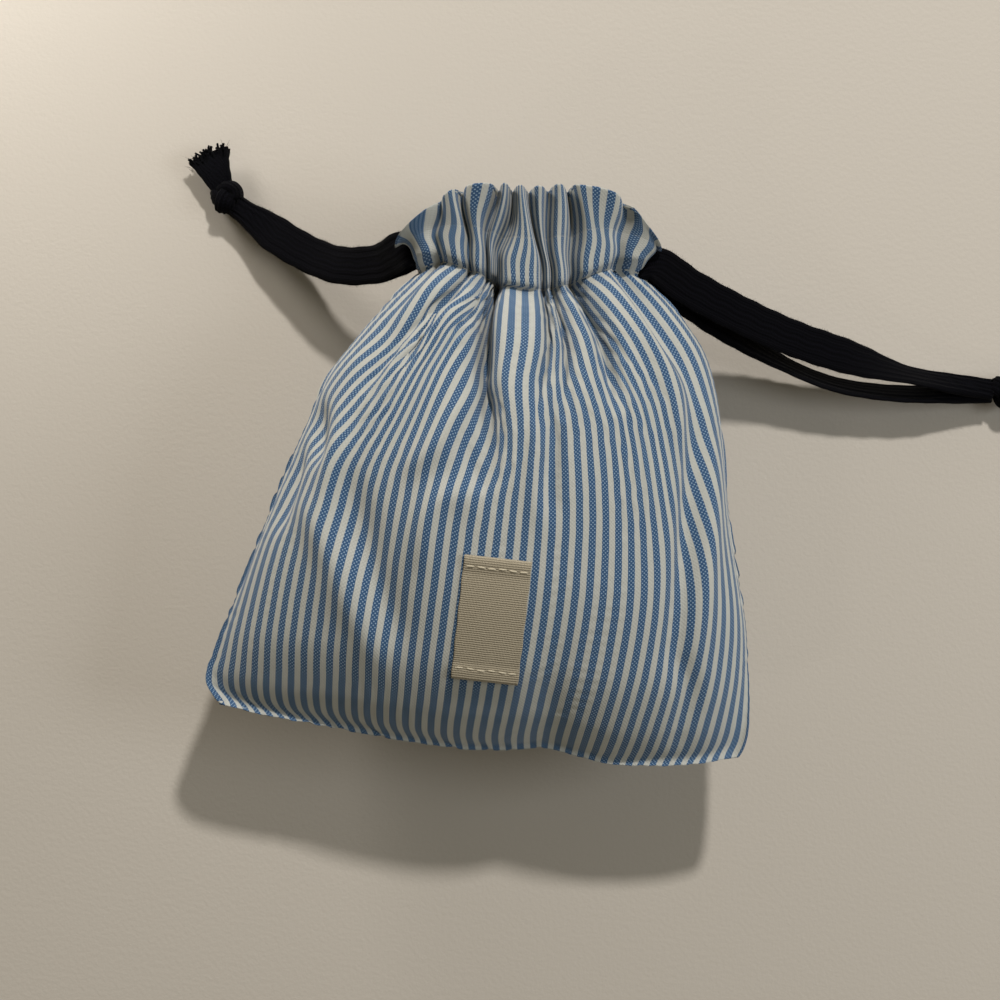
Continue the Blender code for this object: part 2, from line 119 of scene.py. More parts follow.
def addNode(tree, kind, settings=None, inputs=None, out=0):
    # Any node: its settings first, then the values or links of its sockets.
    made = tree.nodes.new("ShaderNode" + kind)
    for name, value in (settings or {}).items():
        setattr(made, name, value)
    for name, value in (inputs or {}).items():
        feed(tree, made.inputs[name], value)
    return Shade(tree, made.outputs[out])


def mixColour(tree, amount, low, high, blend="MIX"):
    return addNode(tree, "Mix", {"data_type": "RGBA", "blend_type": blend}, {0: amount, 6: low, 7: high}, 2)


def smoothStep(value, low, high):
    return addNode(value.tree, "MapRange", {"interpolation_type": "SMOOTHSTEP"},
                   {"Value": value, "From Min": low, "From Max": high})


def noise(tree, place, scale, detail, dimensions="2D"):
    return addNode(tree, "TexNoise", {"noise_dimensions": dimensions},
                   {"Vector": place, "Scale": scale, "Detail": detail})


def clothPlaces(tree):
    # The piece's own map of its cloth, and the places across and along the cloth in mm.
    uv = addNode(tree, "UVMap", {"uv_map": "cloth"})
    across, up = (addNode(tree, "SeparateXYZ", None, {"Vector": uv}, k) / mm for k in (0, 1))
    return uv, across, up


def tinted(colour, amount):
    return tuple(c * amount for c in colour)


def newMaterial(name, values):
    made = bpy.data.materials.new(name)
    made.use_nodes = True
    shader = made.node_tree.nodes["Principled BSDF"]
    for slot, value in values.items():
        feed(made.node_tree, shader.inputs[slot], value)
    return made, made.node_tree, shader


def dress(tree, shader, colour, height, distance, strength):
    # The colour, and a bump whose height is in units of the given distance.
    feed(tree, shader.inputs["Base Color"], colour)
    bump = addNode(tree, "Bump", None, {"Height": height, "Distance": distance, "Strength": strength})
    feed(tree, shader.inputs["Normal"], bump)


# Camera, light and table

view = {
    "lens": 70.2,
    "height": 0.500,
    "lookAt": (0.0011, -0.0076, 0.029),
    "tilt": 3.0,           # degrees off straight down, towards the bottom of the picture
    "roll": 5.5,           # degrees that the pouch is turned in the picture
}
light = {
    "keyFrom": (0.22, 0.975),
    "keyHeight": 47.0,     # degrees above the table
    "keyDistance": 1.2,
    "keyWatts": 41.5,
    "keyRadius": 0.045,
    "keyColour": (1.0, 0.965, 0.915),
    "aim": 0.02,           # height above the table that every lamp points at
    "soft": {              # place, size, watts and colour
        "window": ((0.70, 0.05, 0.55), 0.35, 2.6, (0.88, 0.92, 0.95)),
        "corner": ((-0.24, 0.22, 0.10), 0.08, 0.50, (1.0, 0.965, 0.915)),
        "low": ((-0.42, -0.55, 0.62), 0.10, 0.25, (1.0, 0.965, 0.915)),
    },
    "skyColour": (1.0, 0.86, 0.56),
    "skyStrength": 0.138,
}
table = {
    "size": 1.5,
    "colour": (0.502, 0.464, 0.414),
    "clouding": 0.035,     # how far its colour wanders up and down
    "grain": 0.00012,
}


def makeCamera():
    target = Vector(view["lookAt"])
    roll = math.radians(view["roll"])
    upward = Vector((-math.sin(roll), math.cos(roll), 0.0))
    reach = view["height"] - target.z
    place = target + Vector((0, 0, reach)) - upward * reach * math.tan(math.radians(view["tilt"]))
    backward = (place - target).normalized()
    right = upward.cross(backward).normalized()
    up = backward.cross(right)
    camera = bpy.data.objects.new("camera", bpy.data.cameras.new("camera"))
    camera.matrix_world = Matrix.Translation(place) @ Matrix((right, up, backward)).transposed().to_4x4()
    camera.data.lens = view["lens"]
    camera.data.sensor_width = 36.0
    camera.data.clip_start = 0.01
    bpy.context.scene.collection.objects.link(camera)
    bpy.context.scene.camera = camera


def addLamp(name, kind, place, watts, size, colour):
    lamp = bpy.data.objects.new(name, bpy.data.lights.new(name, kind))
    lamp.data.energy = watts
    lamp.data.color = colour
    if kind == "AREA":
        lamp.data.size = size
    else:
        lamp.data.shadow_soft_size = size
    lamp.location = place
    lamp.rotation_euler = (Vector(place) - Vector((0, 0, light["aim"]))).to_track_quat("Z", "Y").to_euler()
    bpy.context.scene.collection.objects.link(lamp)


def makeLight():
    rise = math.radians(light["keyHeight"])
    flatWay = Vector((*light["keyFrom"], 0)).normalized() * math.cos(rise)
    place = (flatWay + Vector((0, 0, math.sin(rise)))) * light["keyDistance"]
    addLamp("key", "POINT", place, light["keyWatts"], light["keyRadius"], light["keyColour"])
    for name, (place, size, watts, colour) in light["soft"].items():
        addLamp(name, "AREA", place, watts, size, colour)
    world = bpy.data.worlds.new("studio")
    world.use_nodes = True
    back = world.node_tree.nodes["Background"]
    back.inputs[0].default_value = (*light["skyColour"], 1.0)
    back.inputs[1].default_value = light["skyStrength"]
    bpy.context.scene.world = world


def makeTable():
    shape = bmesh.new()
    bmesh.ops.create_grid(shape, x_segments=1, y_segments=1, size=table["size"])
    top = toObject(shape, "table")
    made, tree, shader = newMaterial("pale_table", {"Roughness": 0.55, "Specular IOR Level": 0.25})
    place = addNode(tree, "TexCoord", out="Object")
    speck = noise(tree, place, 900.0, 2.0, "3D")
    cloud = noise(tree, place, 6.0, 1.0, "3D")
    colour = mixColour(tree, cloud, tinted(table["colour"], 1 - table["clouding"]),
                       tinted(table["colour"], 1 + table["clouding"]))
    dress(tree, shader, colour, speck, table["grain"], 0.6)
    top.data.materials.append(made)


def toObject(shape, name):
    mesh = bpy.data.meshes.new(name)
    shape.to_mesh(mesh)
    shape.free()
    mesh.shade_smooth()
    made = bpy.data.objects.new(name, mesh)
    bpy.context.scene.collection.objects.link(made)
    return made


def applyModifiers(piece):
    graph = bpy.context.evaluated_depsgraph_get()
    graph.update()
    finished = bpy.data.meshes.new_from_object(piece.evaluated_get(graph))
    piece.modifiers.clear()
    piece.data = finished


def ramp(at, low, high):
    t = np.clip((np.asarray(at, float) - low) / (high - low), 0.0, 1.0)
    return t * t * (3 - 2 * t)


def lengthAlong(points):
    # How far each point is from the first, along the line or the columns of a grid.
    steps = np.linalg.norm(np.diff(points, axis=0), axis=-1)
    return np.concatenate([np.zeros((1, *steps.shape[1:])), np.cumsum(steps, axis=0)])


def curveThrough(stations, at):
    # A smooth curve through (place, value) stations, read at one or many places.
    x, y = np.array(stations, float).T
    step = np.diff(x)
    rise = np.diff(y) / step
    slope = np.concatenate([[rise[0]], np.zeros(len(x) - 2), [rise[-1]]])
    turning = rise[:-1] * rise[1:] > 0
    slope[1:-1][turning] = 2 * rise[:-1][turning] * rise[1:][turning] / (rise[:-1] + rise[1:])[turning]
    at = np.clip(np.asarray(at, float), x[0], x[-1])
    i = np.clip(np.searchsorted(x, at, side="right") - 1, 0, len(x) - 2)
    t = (at - x[i]) / step[i]
    return (y[i] * (1 + 2 * t) * (1 - t) ** 2 + y[i + 1] * t * t * (3 - 2 * t)
            + step[i] * (slope[i] * t * (1 - t) ** 2 - slope[i + 1] * t * t * (1 - t)))


# The cloth bag

bag = {
    "width": 0.142,
    "columns": 118,        # of the front, and as many of the back
    "bodyLength": 0.1322,  # from the bottom fold to the lower stitch line
    "bodyRows": 108,
    "casing": 0.0112,
    "frill": 0.0107,
    "headRows": 26,
    "liningRows": 20,
    "hem": 0.0006,         # round the frill's edge into the lining
    "seamHeight": 0.0295,
    "frontRise": 0.0275,
    "backDrop": 0.0301,    # past the table, so that the back is pressed flat where it lies
    "neckRise": 0.0122,
    "thickness": 0.00038,
    "headTilt": 5.0,       # degrees that the head is turned on the body
    "headMiddle": (2.6, 52.0),  # mm
    "headRound": 0.62,     # roundness of the head's cross-section
    "foldDepth": 1.5,      # how much of the pressed folds' depth is used
    "seamFade": 0.09,      # share of the cloth at each side seam where the pressed folds fade
    "headFlare": 4.6,      # mm that each end of the head widens towards the frill
    "headGap": 5.2,        # mm that the head's two sides part at the slits
    "wingDroop": 0.0115,
    "overhang": 1.1,       # mm that the casing hangs over the stitch line
    "liningGap": 0.9,      # mm from the outside to the lining
    "liningDive": 6.4,     # mm that the lining dips under the creases inside the frill
    "sectionPoints": 1200,
}
# The outline seen from above: height up the side seam, left edge, right edge, in mm
outline = (
    (-61.0, -60.5, 63.4), (-57.5, -65.6, 66.0), (-50, -63.6, 65.2), (-34, -59.0, 63.0), (-15, -53.4, 58.2),
    (4, -48.9, 53.6), (19, -45.6, 49.8), (28.5, -40.5, 46.2), (38, -33.0, 38.6), (46.5, -24.4, 29.6),
)
# How far up or down the stitch line and the frill's edge lie, by their place across the neck, in mm
neckSag = (
    (-27, 1.2), (-22, 2.6), (-13, 0.2), (-6, -3.0), (0, -4.0), (6, -3.4), (13, -1.0), (21, 1.5), (27, 0.8),
)
backSag = ((-27, 1.2), (-20, 1.2), (0, 0.0), (20, 1.0), (27, 0.8))
frillSag = (
    (-30, -2.0), (-24, -1.5), (-17, -1.4), (-8, -2.2), (0, -3.2), (7, -2.6), (18, -1.2), (24, -1.6),
    (30, -2.4),
)
# The bottom fold seen from above, in mm
bottomEdge = (
    (-62, -61.6), (-51.5, -64.4), (-34.5, -65.7), (-17.3, -67.3), (-2.8, -67.9), (8, -67.2), (17.5, -65.8),
    (26, -67.1), (34, -68.2), (55, -66.2), (62, -63.2),
)
# How full the front and the back are, and how flat their tops, by the share of the way up the body
riseUp = (
    (0, 0), (0.03, 0.20), (0.08, 0.46), (0.18, 0.78), (0.34, 0.97), (0.5, 1.0), (0.68, 0.93),
    (0.84, 0.66), (1, 0),
)
dropUp = (
    (0, 0), (0.03, 0.28), (0.08, 0.62), (0.16, 0.92), (0.24, 1.0), (0.66, 1.0), (0.78, 0.90),
    (0.90, 0.50), (1, 0),
)
roundUp = ((0, 1.25), (0.10, 1.12), (0.35, 0.92), (0.70, 0.84), (1, 0.74))
# The head's width, height and depth of creases, by the share of the way from the stitch line to the
# frill's edge
headWide = ((0, 0), (0.12, 0.20), (0.30, 0.48), (0.5, 0.68), (0.8, 0.95), (1.0, 1.05))
headHigh = ((0, 0.84), (0.08, 1.03), (0.25, 1.09), (0.50, 1.16), (0.75, 1.32), (1, 1.52))
headCreased = ((0, 1.0), (0.3, 0.85), (0.52, 1.0), (0.8, 1.15), (1, 1.2))
# Creases of the front: share of the cloth at the head; place across from -1 to 1 at the neck and at
# the frill; depth and half width there in mm; where it ends, its share of the cloth, place across
# and how far up the body that is
frontCreases = (
    (0.054, -0.81, -0.71, 2.6, 1.6, 0.090, -0.79, 0.72),
    (0.152, -0.54, -0.51, 4.0, 1.6, 0.175, -0.60, 0.74),
    (0.245, -0.39, -0.277, 5.2, 1.6, 0.300, -0.36, 0.84),
    (0.382, -0.31, -0.13, 12.0, 2.2, 0.462, -0.078, 0.50),
    (0.574, 0.12, 0.00, 4.6, 1.6, 0.542, 0.08, 0.62),
    (0.654, 0.20, 0.117, 4.6, 1.5, 0.615, 0.21, 0.66),
    (0.774, 0.38, 0.27, 7.5, 2.1, 0.721, 0.45, 0.68),
    (0.928, 0.78, 0.70, 3.6, 2.0, 0.903, 0.82, 0.60),
)
backCreases = (
    (0.120, -0.74, -0.70, 4.8, 2.0, 0.150, -0.70, 0.64),
    (0.240, -0.52, -0.50, 4.8, 1.9, 0.280, -0.44, 0.58),
    (0.350, -0.28, -0.30, 5.0, 1.8, 0.400, -0.18, 0.78),
    (0.450, -0.10, -0.08, 5.2, 1.8, 0.460, -0.06, 0.60),
    (0.550, 0.10, 0.14, 4.8, 1.8, 0.540, 0.06, 0.80),
    (0.650, 0.28, 0.31, 5.0, 1.9, 0.620, 0.24, 0.62),
    (0.760, 0.52, 0.52, 4.8, 2.0, 0.720, 0.46, 0.74),
    (0.870, 0.74, 0.72, 4.6, 2.0, 0.845, 0.68, 0.62),
)
# Folds pressed into the front: how far out (or in), half width, and the line seen from above, in mm
frontFolds = (
    (1.6, 3.4, ((-7.7, 41.9), (-14.3, 35.8), (-21.6, 29.4), (-29.2, 17.4))),
    (-2.4, 3.0, ((-12.0, 40.1), (-19.8, 34.2), (-25.8, 26.8), (-32.6, 14.9))),
    (1.6, 3.0, ((-17.5, 45.2), (-24.4, 34.8), (-30.6, 28.8), (-36.6, 17.0))),
    (-3.0, 2.6, ((-44.7, 12.0), (-43.4, 3.6), (-41.9, -3.2))),
    (2.2, 3.4, ((-39.0, 12.0), (-38.0, 3.0), (-38.6, -10.0), (-39.5, -24.0))),
    (-2.2, 3.0, ((-48.2, 4.5), (-49.0, -7.7), (-50.6, -19.9))),
    (1.2, 2.4, ((6.5, 17.0), (7.0, 10.0), (8.2, 2.0), (8.6, -6.0), (11.0, -15.0))),
    (-1.4, 2.6, ((11.0, 13.0), (12.5, 5.0), (12.2, -3.0), (13.8, -11.0))),
    (-2.6, 5.0, ((-35.6, -6.0), (-30.0, -20.0), (-25.9, -30.0), (-18.6, -44.0))),
    (2.0, 4.5, ((-45.1, -12.0), (-36.1, -25.0), (-29.6, -37.1), (-23.0, -48.0))),
    (-3.4, 2.8, ((41.2, 33.8), (46.0, 3.8), (46.0, -17.3), (45.4, -38.3), (50.0, -49.9), (48.5, -60.0))),
    (2.0, 3.0, ((45.2, 28.0), (50.2, 4.0), (50.6, -17.0), (50.0, -38.0), (54.0, -50.0))),
    (2.0, 3.0, ((19.3, 47.6), (25.7, 42.2), (32.9, 32.5), (39.6, 19.6), (41.8, 8.5))),
    (-2.8, 2.6, ((23.7, 47.8), (29.3, 42.3), (36.8, 32.3), (44.5, 20.2))),
    (0.9, 3.0, ((-3.0, 18.5), (-7.0, 13.8), (-11.2, 9.8), (-15.0, 3.0))),
    (-1.8, 3.2, ((-5.0, 14.0), (-7.2, 6.8), (-6.0, 0.0), (-3.0, -7.0))),
    (2.4, 3.6, ((-6.5, -9.0), (-11.0, -9.6), (-14.5, -14.0), (-16.1, -25.0))),
    (2.0, 3.5, ((-9.0, 12.0), (-14.0, 3.0), (-20.0, -4.0))),
    (-0.6, 4.5, ((17.5, -60.0), (16.5, -52.0), (19.0, -42.0))),
)


def pressFolds(rows, folds):
    # Moves the points of a grid out or in along its normals near each fold's line.
    normal = np.cross(np.gradient(rows, axis=1), np.gradient(rows, axis=0))
    normal /= np.maximum(np.linalg.norm(normal, axis=2, keepdims=True), 1e-12)
    share = np.linspace(0, 1, rows.shape[1])
    normal *= ramp(np.minimum(share, 1 - share), 0.0, bag["seamFade"])[None, :, None]
    moved = np.zeros(rows.shape[:2])
    for out, width, line in folds:
        line = np.array(line) * mm
        along = lengthAlong(line)
        at = np.linspace(0, along[-1], 60)
        fine = np.stack([curveThrough(list(zip(along, line[:, k])), at) for k in range(2)], axis=1)
        taper = np.sin(np.pi * np.clip(at / along[-1], 0.02, 0.98)) ** 0.6
        gap = np.linalg.norm(rows[:, :, None, :2] - fine[None, None], axis=3) / (width * mm)
        shape = np.exp(-(gap**1.6) * 1.4) * taper[None, None]
        moved += out * bag["foldDepth"] * mm * shape.max(axis=2)
    return rows + normal * moved[..., None]


def halfSection(shares, half, rise, lift, roundness, creases, pull,
                frill=0.0, deepen=1.0, deepest=20.0, inset=0.0):
    # One side of a cross-section from the left edge to the right, with its creases; x and z in mm,
    # for the given shares of the cloth. pull is 0 at the bottom fold and 1 at the neck, frill is 1 at
    # the frill's edge.
    count = bag["sectionPoints"]
    angle = np.linspace(0, math.pi, count)
    x = -half * np.cos(angle)
    z = lift + (rise - lift) * np.sin(angle) ** roundness
    along = np.concatenate([[0], np.cumsum(np.hypot(np.diff(x), np.diff(z)))])
    at = np.linspace(0, along[-1], count)
    x, z = np.interp(at, along, x), np.interp(at, along, z)
    mean = at / at[-1]
    depth = np.zeros(count)
    pins = [(0.0, 0.0)]
    for cloth, neckPlace, frillPlace, deep, span, footCloth, footPlace, reach in creases:
        grown = float(ramp(pull, reach, 1.0))
        place = neckPlace + (frillPlace - neckPlace) * frill
        spot = footPlace + (place - footPlace) * grown
        middle = float(np.interp(spot * half, x, mean))
        # a crease starts wide and shallow and ends narrow and deep
        strength = grown**0.5 * (1 + 0.30 * math.sin(math.pi * grown)) * deepen
        wide = span * (2.4 - 1.4 * grown) / at[-1] * (1.12 + 0.28 * grown)
        press = min(deep * strength, deepest)
        depth = np.maximum(depth, press * np.clip(1 - (np.abs(mean - middle) / wide) ** 1.1, 0, 1) ** 1.8)
        # and the cloth on it slides over to its share
        settled = float(ramp(pull, reach - 0.25, reach + 0.15))
        pins.append((middle, middle + (footCloth + (cloth - footCloth) * grown**0.5 - middle) * settled))
    pins.append((1.0, 1.0))
    run, climb = np.gradient(x, at), np.gradient(z, at)
    length = np.hypot(run, climb)
    run, climb = run / length, climb / length
    inward = depth + inset * np.clip(6.4 * mean * (1 - mean), 0.12, 1.0)
    x, z = x + climb * inward, z - run * inward
    length = np.concatenate([[0], np.cumsum(np.hypot(np.diff(x), np.diff(z)))])
    cloth = np.zeros(count)
    for (a, ca), (b, cb) in zip(pins[:-1], pins[1:]):
        inside = (mean >= a) & (mean <= b)
        start, end = np.interp([a, b], mean, length)
        cloth[inside] = ca + (cb - ca) * (length[inside] - start) / max(end - start, 1e-9)
    return np.interp(shares, cloth, x), np.interp(shares, cloth, z)


def sagAt(x, stations):
    # How far the gathered head sags in its middle, for places across the neck.
    return curveThrough(stations, np.asarray(x) - bag["headMiddle"][0])


def headTurn(x, y, amount):
    angle = math.radians(bag["headTilt"]) * amount
    cx, cy = bag["headMiddle"]
    return (cx + (x - cx) * np.cos(angle) - (y - cy) * np.sin(angle),
            cy + (x - cx) * np.sin(angle) + (y - cy) * np.cos(angle))


def bodyRow(shares, up, side):
    # A row of the front (side 1) or back (side -1), a share of the way up from the bottom fold.
    low, high = outline[0][0], outline[-1][0]
    y = low + (high - low) * up
    left = float(curveThrough([(a, b) for a, b, _ in outline], y))
    right = float(curveThrough([(a, c) for a, _, c in outline], y))
    half, middle = (right - left) / 2, (right + left) / 2
    neck = float(ramp(up, 0.5, 1.0))
    neckRise = bag["neckRise"] / mm
    full = bag["frontRise" if side > 0 else "backDrop"] / mm
    least = 0.5 * (1 - neck) + neckRise * neck * (1 - 0.16 * float(ramp(up, 0.93, 1.0)))
    rise = least + (full - neckRise * neck) * float(curveThrough(riseUp if side > 0 else dropUp, up))
    creases = frontCreases if side > 0 else backCreases
    x, z = halfSection(shares, half, rise, 0.0, float(curveThrough(roundUp, up)), creases, up)
    z *= side
    x = x + middle
    bow = curveThrough(bottomEdge, np.clip(x, -62, 62)) - low
    y = y + bow * (1 - float(ramp(up, 0.0, 0.40)))
    y = y + sagAt(x, neckSag if side > 0 else backSag) * float(ramp(up, 0.62, 1.0)) ** 1.2
    x, y = headTurn(x, y, float(ramp(up, 0.45, 1.0)))
    z = np.maximum(z + bag["seamHeight"] / mm, 0.25)
    return np.stack([x, y, z], axis=1) * mm


def headRow(shares, along, side, inner=0.0):
    # A row of the head: along is 0 at the lower stitch line and 1 at the frill's edge; inner is 0 on
    # the outside of the cloth and 1 on the lining.
    low, high = outline[-1][1], outline[-1][2]
    headLength = (bag["casing"] + bag["frill"]) / mm
    half = (high - low) / 2 + bag["headFlare"] * float(curveThrough(headWide, along))
    rise = bag["neckRise"] / mm * float(curveThrough(headHigh, along))
    lift = bag["headGap"] * float(ramp(along, 0.0, 0.16))
    creases = frontCreases if side > 0 else backCreases
    deepen = float(curveThrough(headCreased, along))
    dive = inner * float(ramp(1 - along, 0.0, 0.15))
    x, z = halfSection(shares, half - 0.5 * inner, max(rise, lift + 0.01), lift, bag["headRound"],
                       creases, 1.0, along, deepen * (1 - dive), 6.0 * (1 - dive) + 0.01,
                       bag["liningGap"] * inner + bag["liningDive"] * dive)
    if inner > 0:
        # in the casing the two linings lie nearly flat, and they meet at the stitch line
        closed = 1 - float(ramp(along, 0.52, 0.80))
        level = 0.0 if along < 0.08 else 1.1
        flatX, flatZ = halfSection(shares, half - 0.5, level + 0.01, 0.4 * level, bag["headRound"],
                                   creases, 1.0, along, 0.06, 6.0)
        x, z = x + (flatX - x) * closed, z + (flatZ - z) * closed
    z *= side
    middle = (low + high) / 2
    edge = np.abs(x) / half
    droop = bag["wingDroop"] / mm * along**1.6 * np.clip(edge, 0, 1.1) ** 2.6
    crest = np.abs(z) - rise * 0.72
    overhang = bag["overhang"] * math.exp(-(((along - 0.07) / 0.06) ** 2)) * np.clip(crest / 3.0, -0.3, 1.0)
    y = outline[-1][0] + headLength * along - droop - overhang
    y = y + 0.22 * np.minimum(crest, rise * 0.16) * float(ramp(along, 0.50, 1.0))
    x = x + 0.75 * np.sin(5.4 * along + 0.42 * x) * float(ramp(along, 0.05, 0.4))
    sag = sagAt(x + middle, neckSag if side > 0 else backSag)
    topSag = sagAt(x + middle, frillSag if side > 0 else backSag)
    y = y + sag + (topSag - sag) * float(ramp(along, 0.15, 1.0))
    x, y = headTurn(x + middle, y, 1.0)
    return np.stack([x, y, z + bag["seamHeight"] / mm], axis=1) * mm


def shapeHalf(side):
    # Every row of one side: the body, the outside of the head, and its lining.
    shares = np.linspace(0, 1, bag["columns"] + 1)
    rows = np.array([bodyRow(shares, up, side) for up in np.linspace(0, 1, bag["bodyRows"] * 3 + 1)])
    along = lengthAlong(rows)
    body = np.zeros((bag["bodyRows"] + 1, bag["columns"] + 1, 3))
    for k in range(bag["columns"] + 1):
        even = np.linspace(0, along[-1, k], bag["bodyRows"] + 1)
        for axis in range(3):
            body[:, k, axis] = np.interp(even, along[:, k], rows[:, k, axis])
    if side > 0:
        body = pressFolds(body, frontFolds)
    head = [headRow(shares, a, side) for a in np.linspace(0, 1, bag["headRows"] + 1)[1:]]
    lining = [headRow(shares, a, side, 1.0) for a in np.linspace(1.0, 0.0, bag["liningRows"] + 1)]
    return np.concatenate([body, head, lining])


def makeCloth():
    # Two panels cut from one striped cloth, sewn along the bottom and up both sides to the slits.
    shape = bmesh.new()
    columns, stitchLine = bag["columns"], bag["bodyRows"]
    headLength = bag["casing"] + bag["frill"]
    heights = np.concatenate([
        np.linspace(0, bag["bodyLength"], stitchLine + 1),
        bag["bodyLength"] + np.linspace(0, headLength, bag["headRows"] + 1)[1:],
        bag["bodyLength"] + headLength + bag["hem"] + np.linspace(0, headLength, bag["liningRows"] + 1),
    ])
    last = len(heights) - 1
    uvLayer = shape.loops.layers.uv.new("cloth")
    places, flats, coords, panels = {}, {}, {}, {}
    for side in (1, -1):
        shaped = shapeHalf(side)
        verts = bmesh.ops.create_grid(shape, x_segments=columns, y_segments=last, size=1.0)["verts"]
        panels[side] = {}
        for v in verts:
            i = round((v.co.x + 1) / 2 * columns)
            j = round((v.co.y + 1) / 2 * last)
            panels[side][i, j] = v
            across = bag["width"] * i / columns
            places[v] = shaped[j, i]
            flats[v] = (across, heights[j], 0.004 * side)
            coords[v] = (across if side > 0 else bag["width"] * 2 - across, heights[j])
        faces = list({f for v in verts for f in v.link_faces})
        if side < 0:
            bmesh.ops.reverse_faces(shape, faces=faces)
        for f in faces:
            for loop in f.loops:
                loop[uvLayer].uv = coords[loop.vert]
    sewn = {}
    for i, j in panels[1]:
        if j in (0, last) or (i in (0, columns) and j <= stitchLine):
            sewn[panels[-1][i, j]] = panels[1][i, j]
    bmesh.ops.weld_verts(shape, targetmap=sewn)
    kept = list(shape.verts)
    flat = np.array([flats[v] for v in kept])
    placed = np.array([places[v] for v in kept])
    rowOf = np.array([coords[v][1] for v in kept])
    for v, place in zip(kept, placed):
        v.co = place
    bmesh.ops.recalc_face_normals(shape, faces=shape.faces)
    cloth = toObject(shape, "striped_bag")
    if np.mean([p.normal.z for p in cloth.data.polygons if p.center.z > 0.05]) < 0:
        cloth.data.flip_normals()
    return cloth, placed, flat, rowOf


simulation = {
    "frames": 20,
    "close": 8,            # the frame when the flat bag is drawn into its shape
    "pull": 30.0,          # how firmly every point is pulled there
    "endPull": 8.0,        # and how firmly it is kept there in the end
    "hold": 0.5,           # share of that pull on the body, where the head has all of it
    "cap": 0.007,          # no point ends further than this from its sculpted place
    "cotton": {
        "quality": 4,
        "mass": 0.002,
        "tension_stiffness": 15,
        "compression_stiffness": 10,
        "shear_stiffness": 3,
        "bending_stiffness": 0.04,
        "tension_damping": 2,
        "compression_damping": 2,
        "shear_damping": 1,
        "bending_damping": 0.1,
        "air_damping": 1,
    },
}


def settleCloth(cloth, placed, flat, rowOf):
    # Blender's cloth draws the flat bag into its sculpted shape, keeping the true size of the cloth:
    # every point is pulled to its sculpted place, firmly at first and less in the end.
    cloth.data.vertices.foreach_set("co", flat.astype(np.float32).ravel())
    cloth.shape_key_add(name="Basis")
    drawn = cloth.shape_key_add(name="drawn")
    drawn.data.foreach_set("co", placed.astype(np.float32).ravel())
    frames, close = simulation["frames"], simulation["close"]
    for value, frame in ((0.0, 1), (1.0, close), (1.0, frames)):
        drawn.value = value
        drawn.keyframe_insert("value", frame=frame)
    held = cloth.vertex_groups.new(name="held")
    inHead = rowOf > bag["bodyLength"] - 0.0005
    for which, weight in ((inHead, 1.0), (~inHead, simulation["hold"])):
        held.add([int(i) for i in np.where(which)[0]], weight, "REPLACE")
    made = cloth.modifiers.new("settle", "CLOTH")
    settings = made.settings
    for name, value in simulation["cotton"].items():
        setattr(settings, name, value)
    settings.vertex_group_mass = "held"
    pull, endPull = simulation["pull"], simulation["endPull"]
    for value, frame in ((pull, 1), (pull, close), (endPull, close + 3)):
        settings.pin_stiffness = value
        settings.keyframe_insert("pin_stiffness", frame=frame)
    settings.effector_weights.gravity = 0.0
    made.collision_settings.use_self_collision = False
    made.collision_settings.use_collision = False
    for step in range(1, frames + 1):
        bpy.context.scene.frame_set(step)
    settled = np.zeros(len(placed) * 3, dtype=np.float32)
    mesh = cloth.evaluated_get(bpy.context.evaluated_depsgraph_get()).data
    mesh.vertices.foreach_get("co", settled)
    settled = settled.reshape(-1, 3)
    bpy.context.scene.frame_set(1)
    cloth.modifiers.clear()
    cloth.shape_key_clear()
    cloth.animation_data_clear()
    move = settled - placed
    far = np.linalg.norm(move, axis=1, keepdims=True)
    move *= np.minimum(1.0, simulation["cap"] / np.maximum(far, 1e-9))
    report(f"cloth moved up to {far.max() / mm:.1f} mm, {np.median(far) / mm:.2f} mm in the middle")
    final = placed + move
    final[:, 2] = np.maximum(final[:, 2], onTable)
    cloth.data.vertices.foreach_set("co", final.astype(np.float32).ravel())
    cloth.data.update()


def finishCloth(cloth):
    fine = cloth.modifiers.new("fine", "SUBSURF")
    fine.levels = fine.render_levels = 1
    wall = cloth.modifiers.new("wall", "SOLIDIFY")
    wall.thickness = bag["thickness"]
    wall.offset = -1.0
    wall.use_even_offset = False
    applyModifiers(cloth)
    cloth.data.shade_smooth()


stripes = {
    "repeat": 3.25,        # mm, one blue and one white stripe
    "blueShare": 0.54,
    "edge": 0.02,          # softness of a stripe's edge, as a share of the repeat
    "wander": 0.16,        # mm that a stripe's edge wanders
    "thread": 0.92,        # mm between every second thread of the weave
    "blue": (0.026, 0.075, 0.168),
    "white": (0.430, 0.437, 0.410),
    "weftWhite": (0.225, 0.32, 0.43),
    "stitch": 2.4,         # mm from one machine stitch to the next
    "faint": 0.75,         # how far the upper row of stitches fades
    "bump": 0.00006,
}


